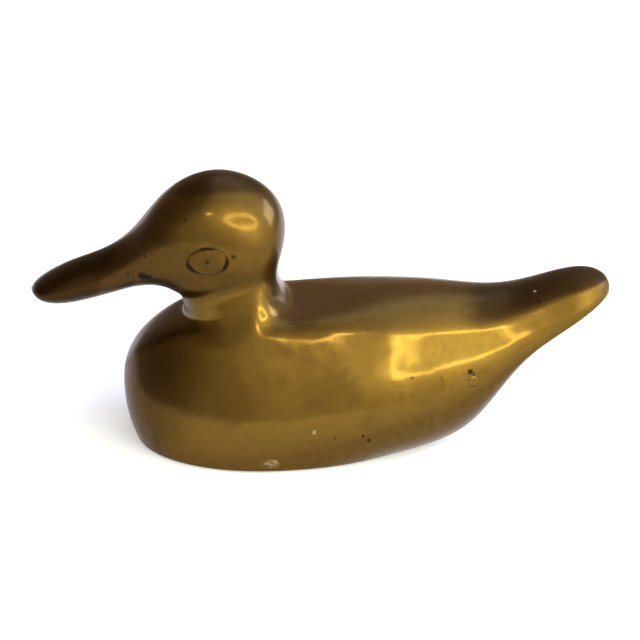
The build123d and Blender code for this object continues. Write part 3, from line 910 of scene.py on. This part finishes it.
def brass(name):
    """Polished brass, tarnished and darkened by painted shade on tops, low flank and undersides, with spots,
    dirt in the eyes, pits and residue, and a fine haze.
    """
    g = new_material(name)
    place = g.scaled(g.node("TexCoord").outputs["Object"], 1 / MM)
    cloud = g.noise(place, *CLOUD)
    tarnish_and_shade, bill = tarnish_and_shade_zones(g, place, cloud)
    shake = g.node("TexNoise", {"Vector": place, "Scale": SHAKE_SCALE}).outputs["Color"]
    wobbly = g.vector("ADD", place, g.scaled(g.vector("SUBTRACT", shake, (0.5, 0.5, 0.5)), SHAKE))
    spots, dirt = marks(g, wobbly, SPOTS), eye_dirt(g, place)
    residue = g.most(residue_streaks(g, place), marks(g, wobbly, SPECKS))
    pits = g.node("TexVoronoi", {"Vector": place, "Scale": PIT_SCALE, "Randomness": 1.0}).outputs["Distance"]
    pits = g.times(g.ramp(pits, *PIT_EDGE), g.ramp(cloud, *PIT_CLOUD))
    base = g.blend(g.ramp(g.noise(place, *FINE), *WARM_EDGE), POLISHED, WARM)
    layers = (
        # Tarnished zones, with painted shade on the crown's and tail's tops, the low flank and undersides
        (tarnish_and_shade, TARNISH_AND_SHADE_COLOUR),
        (g.times(bill, BILL_SHARE), DARK_SPOT),
        (g.times(spots, SPOT_SHARE), DARK_SPOT),
        (dirt, EYE_DIRT),
        (g.times(pits, PIT_SHARE), TARNISH_AND_SHADE_COLOUR),
        (g.times(residue, RESIDUE_SHARE), RESIDUE),
    )
    for layer, shade in layers:
        base = g.blend(layer, base, shade)
    scratches = g.noise(g.vector("MULTIPLY", place, SCRATCH_STRETCH), *SCRATCHES)
    relief = g.add(g.times(g.noise(place, *WAVES), WAVE_HEIGHT), g.times(scratches, SCRATCH_HEIGHT))
    relief = g.minus(relief, g.times(g.most(pits, spots), PIT_DEPTH))
    rough = g.add(g.ramp(g.noise(place, *HAZE), *HAZE_ROUGH), g.times(tarnish_and_shade, TARNISH_AND_SHADE_ROUGH))
    rough = g.add(rough, g.ramp(g.split(place)[0], *TAIL_ROUGH))
    rough = g.add(rough, *(g.times(mark, MARK_ROUGH) for mark in (dirt, residue, spots)))
    metal = g.minus(1.0, g.times(residue, RESIDUE_BODY))
    bump = g.bump(relief, *BRASS_BUMP)
    inputs = {"Base Color": base, "Metallic": metal, "Roughness": rough, "Normal": bump}
    return g.finish(g.node("BsdfPrincipled", inputs).outputs[0])


def plain_metal(name, base, rough):
    """Dull metal with a fine grain."""
    g = new_material(name)
    grain = g.noise(g.node("TexCoord").outputs["Object"], *METAL_GRAIN)
    darker = colour(*(METAL_DARKER * c for c in base))
    shade = g.blend(g.ramp(grain, *GRAIN_EDGE), darker, colour(*base))
    bump = g.bump(grain, *METAL_BUMP)
    inputs = {"Base Color": shade, "Metallic": 1.0, "Roughness": rough, "Normal": bump}
    return g.finish(g.node("BsdfPrincipled", inputs).outputs[0])


def felt(name):
    """Dark green wool felt."""
    g = new_material(name)
    fibres = g.noise(g.node("TexCoord").outputs["Object"], *FELT_FIBRES)
    shade = g.blend(g.ramp(fibres, *GRAIN_EDGE), *FELT_SHADES)
    bump = g.bump(fibres, *FELT_BUMP)
    inputs = {"Base Color": shade, "Roughness": FELT_ROUGH, "Normal": bump}
    return g.finish(g.node("BsdfPrincipled", inputs).outputs[0])


# Pieces that show their own solids, then the skins that take the place of theirs
bare_pieces = {
    "base_plate": plain_metal("sheet_brass", base=(0.40, 0.26, 0.08), rough=0.38),
    "base_solder": plain_metal("solder", base=(0.55, 0.48, 0.32), rough=0.45),
    "neck_braze": plain_metal("braze", base=(0.55, 0.45, 0.25), rough=0.45),
    "felt_pad": felt("felt"),
}
for node, material in bare_pieces.items():
    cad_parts[node].data.materials.clear()
    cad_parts[node].data.materials.append(material)
cast_brass, plug_brass = brass("cast_brass"), brass("plug_brass")
skins = [
    (body_skin, "body_shell", "cast_brass", cast_brass),
    (head_skin, "head_shell", "cast_brass", cast_brass),
]
for cap, plug in zip(plug_caps, plugs):
    skins.append((cap, f"core_plug_{plug.name}", "plug_brass", plug_brass))
for piece, node, slot, material in skins:
    piece.data.materials.append(material)
    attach(piece, "root")
    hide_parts(node)

# Studio in metres: a pale floor, lamps and a dim room
MIDDLE = Vector((0, 0, 0.035))
FLOOR_HALF, FLOOR_GLOW, FLOOR_GRAIN = 6.0, 0.45, 40.0
FLOOR_SHADES = colour(0.80, 0.80, 0.80), colour(0.84, 0.84, 0.83)

# Ring-shaped lamp: an oval with a bright rim of even width, a dim middle and a soft edge
RING_WIDTH, RING_HEIGHT, RING_RIM, RING_EDGE = 1.08, 0.54, 0.09, 0.02
RING_LEVEL, RING_MIDDLE, RING_TINT = 16.0, 1.8, colour(1.0, 1.06, 0.84)
RING_FADE = (0.65, 0.35)

# The room as the brass shows it: dim, with soft glows as (azimuth, elevation, tightness, colour)
ROOM = (0.115, 0.100, 0.085)
GLOWS = [
    (44, 19, 8.0, (1.60, 1.55, 1.25)),
    (40, 36, 16.0, (0.80, 0.80, 0.64)),
    (-6, 26, 4.0, (0.64, 0.60, 0.52)),
    (112, 64, 4.5, (0.80, 0.92, 1.40)),
    (92, 22, 4.5, (1.15, 1.14, 1.12)),
    (0, 80, 5.0, (0.10, 0.10, 0.14)),
]

# Behind the duck the room by elevation in degrees, and the dark on its front left
BEHIND = [
    (0, (0.44, 0.34, 0.20)), (15, (0.48, 0.38, 0.24)), (21, (0.33, 0.20, 0.15)), (33, (0.42, 0.33, 0.27)),
    (44, (0.78, 0.84, 1.05)), (56, (1.05, 1.22, 1.80)), (70, (0.95, 1.05, 1.50)),
]
BEHIND_EDGE = (0.12, 0.36)
DARK_LEFT, DARK_LEFT_SIDE, DARK_LEFT_FRONT = colour(0.24, 0.165, 0.105), (-0.03, -0.17), (-0.70, -0.20)

CAMERA_PLACE, CAMERA_TARGET = Vector((0, -0.5192, 0.2428)), Vector((0, 0, 0.033))
CAMERA_LENS, CAMERA_SENSOR = 111.1, 36.0


def towards(azimuth, elevation):
    """Direction from the duck: azimuth 0 is towards the camera, positive towards the tail."""
    a, e = math.radians(azimuth), math.radians(elevation)
    return Vector((math.sin(a) * math.cos(e), -math.cos(a) * math.cos(e), math.sin(e)))


def face_duck(item, azimuth, elevation, distance):
    """Puts an item in a direction from the duck, turned to face it."""
    item.location = towards(azimuth, elevation) * distance + MIDDLE
    item.rotation_euler = (item.location - MIDDLE).to_track_quat("Z", "Y").to_euler()


def rectangle(name, half_x, half_y, material):
    mesh = bpy.data.meshes.new(name)
    corners = [(-half_x, -half_y, 0), (half_x, -half_y, 0), (half_x, half_y, 0), (-half_x, half_y, 0)]
    mesh.from_pydata(corners, [], [(0, 1, 2, 3)])
    mesh.materials.append(material)
    return add_object(name, mesh)


def floor_material():
    """Pale floor that keeps the duck's shadow and looks near white, in mirrors and glass too."""
    g = new_material("floor")
    ray = g.node("LightPath").outputs
    mirrored = g.add(ray["Is Glossy Ray"], ray["Is Transmission Ray"])
    seen = g.math("ADD", ray["Is Camera Ray"], mirrored, clamp=True)
    grain = g.noise(g.node("TexCoord").outputs["Object"], FLOOR_GRAIN)
    pale = g.node("BsdfDiffuse", {"Color": g.blend(grain, *FLOOR_SHADES)}).outputs[0]
    glow = g.node("Emission", {"Color": colour(1, 1, 1), "Strength": g.times(seen, FLOOR_GLOW)}).outputs[0]
    return g.finish(g.node("AddShader", {0: pale, 1: glow}).outputs[0])


def ring_material():
    """Light of the ring-shaped lamp, clear outside it."""
    g = new_material("ring_lamp")
    places = g.split(g.node("TexCoord").outputs["Object"])[:2]
    halves = (RING_WIDTH - RING_RIM) / 2, (RING_HEIGHT - RING_RIM) / 2
    size = g.oval(places, halves)
    from_rim = g.times(g.minus(size, 1.0), g.math("DIVIDE", size, g.oval(places, halves, power=4)))
    rim = g.ramp(g.math("ABSOLUTE", from_rim), *(RING_RIM * fade for fade in RING_FADE))
    inside = g.ramp(from_rim, RING_EDGE, -RING_EDGE)
    level = g.add(g.times(rim, RING_LEVEL), g.times(inside, RING_MIDDLE))
    light = g.node("Emission", {"Color": RING_TINT, "Strength": level}).outputs[0]
    clear = g.node("BsdfTransparent").outputs[0]
    return g.finish(g.node("MixShader", {0: g.most(rim, inside), 1: clear, 2: light}).outputs[0])


def lamp(name, azimuth, elevation, distance, width, height, radiance, tint, shape="RECTANGLE"):
    """Area lamp of an even radiance."""
    data = bpy.data.lights.new(name, "AREA")
    data.shape = shape
    data.size, data.size_y = width, height
    area = width * height * (math.pi / 4 if shape == "ELLIPSE" else 1)
    data.energy = radiance * math.pi * area
    data.color = tint
    face_duck(add_object(name, data), azimuth, elevation, distance)


def light_room():
    """World of the dim room with its glows, its back and the dark on its front left."""
    world = bpy.data.worlds.new("room")
    bpy.context.scene.world = world
    g = Graph(world)
    direction = g.node("TexCoord").outputs["Generated"]
    to_right, to_back, to_top = g.split(direction)
    room = ROOM
    for azimuth, elevation, tightness, shade in GLOWS:
        facing = g.vector("DOT_PRODUCT", direction, tuple(towards(azimuth, elevation)), "Value")
        room = g.vector("ADD", room, g.scaled(shade, g.lobe(facing, tightness)))
    by_height = g.node("ValToRGB", {0: g.math("DIVIDE", g.math("ARCSINE", to_top), math.pi / 2)})
    stops = by_height.color_ramp.elements
    stops.remove(stops[1])
    for number, (elevation, shade) in enumerate(BEHIND):
        stop = stops.new(elevation / 90) if number else stops[0]
        stop.position = elevation / 90
        stop.color = colour(*shade)
    room = g.blend(g.ramp(to_back, *BEHIND_EDGE), room, by_height.outputs[0])
    leftward = g.times(g.ramp(to_right, *DARK_LEFT_SIDE), g.ramp(to_back, *DARK_LEFT_FRONT))
    room = g.blend(leftward, room, DARK_LEFT)
    g.finish(g.node("Background", {"Color": room}).outputs[0], "OutputWorld")


floor = rectangle("floor", FLOOR_HALF, FLOOR_HALF, floor_material())
lamp(
    "spot", azimuth=-1, elevation=46, distance=1.6, width=0.22, height=0.07,
    radiance=26.0, tint=(1.0, 0.96, 0.80), shape="ELLIPSE",
)
lamp(
    "window", azimuth=106, elevation=26, distance=1.8, width=0.95, height=0.62,
    radiance=5.4, tint=(0.80, 1.0, 2.0),
)
ring = rectangle("ring_lamp", RING_WIDTH / 2 + RING_EDGE, RING_HEIGHT / 2 + RING_EDGE, ring_material())
face_duck(ring, azimuth=38, elevation=36, distance=1.6)
light_room()

camera_data = bpy.data.cameras.new("camera")
camera_data.sensor_width, camera_data.lens = CAMERA_SENSOR, CAMERA_LENS
camera = add_object("camera", camera_data)
camera.location = CAMERA_PLACE
camera.rotation_euler = (CAMERA_TARGET - CAMERA_PLACE).to_track_quat("-Z", "Y").to_euler()
bpy.context.scene.camera = camera
bpy.context.scene.view_settings.view_transform = "Standard"
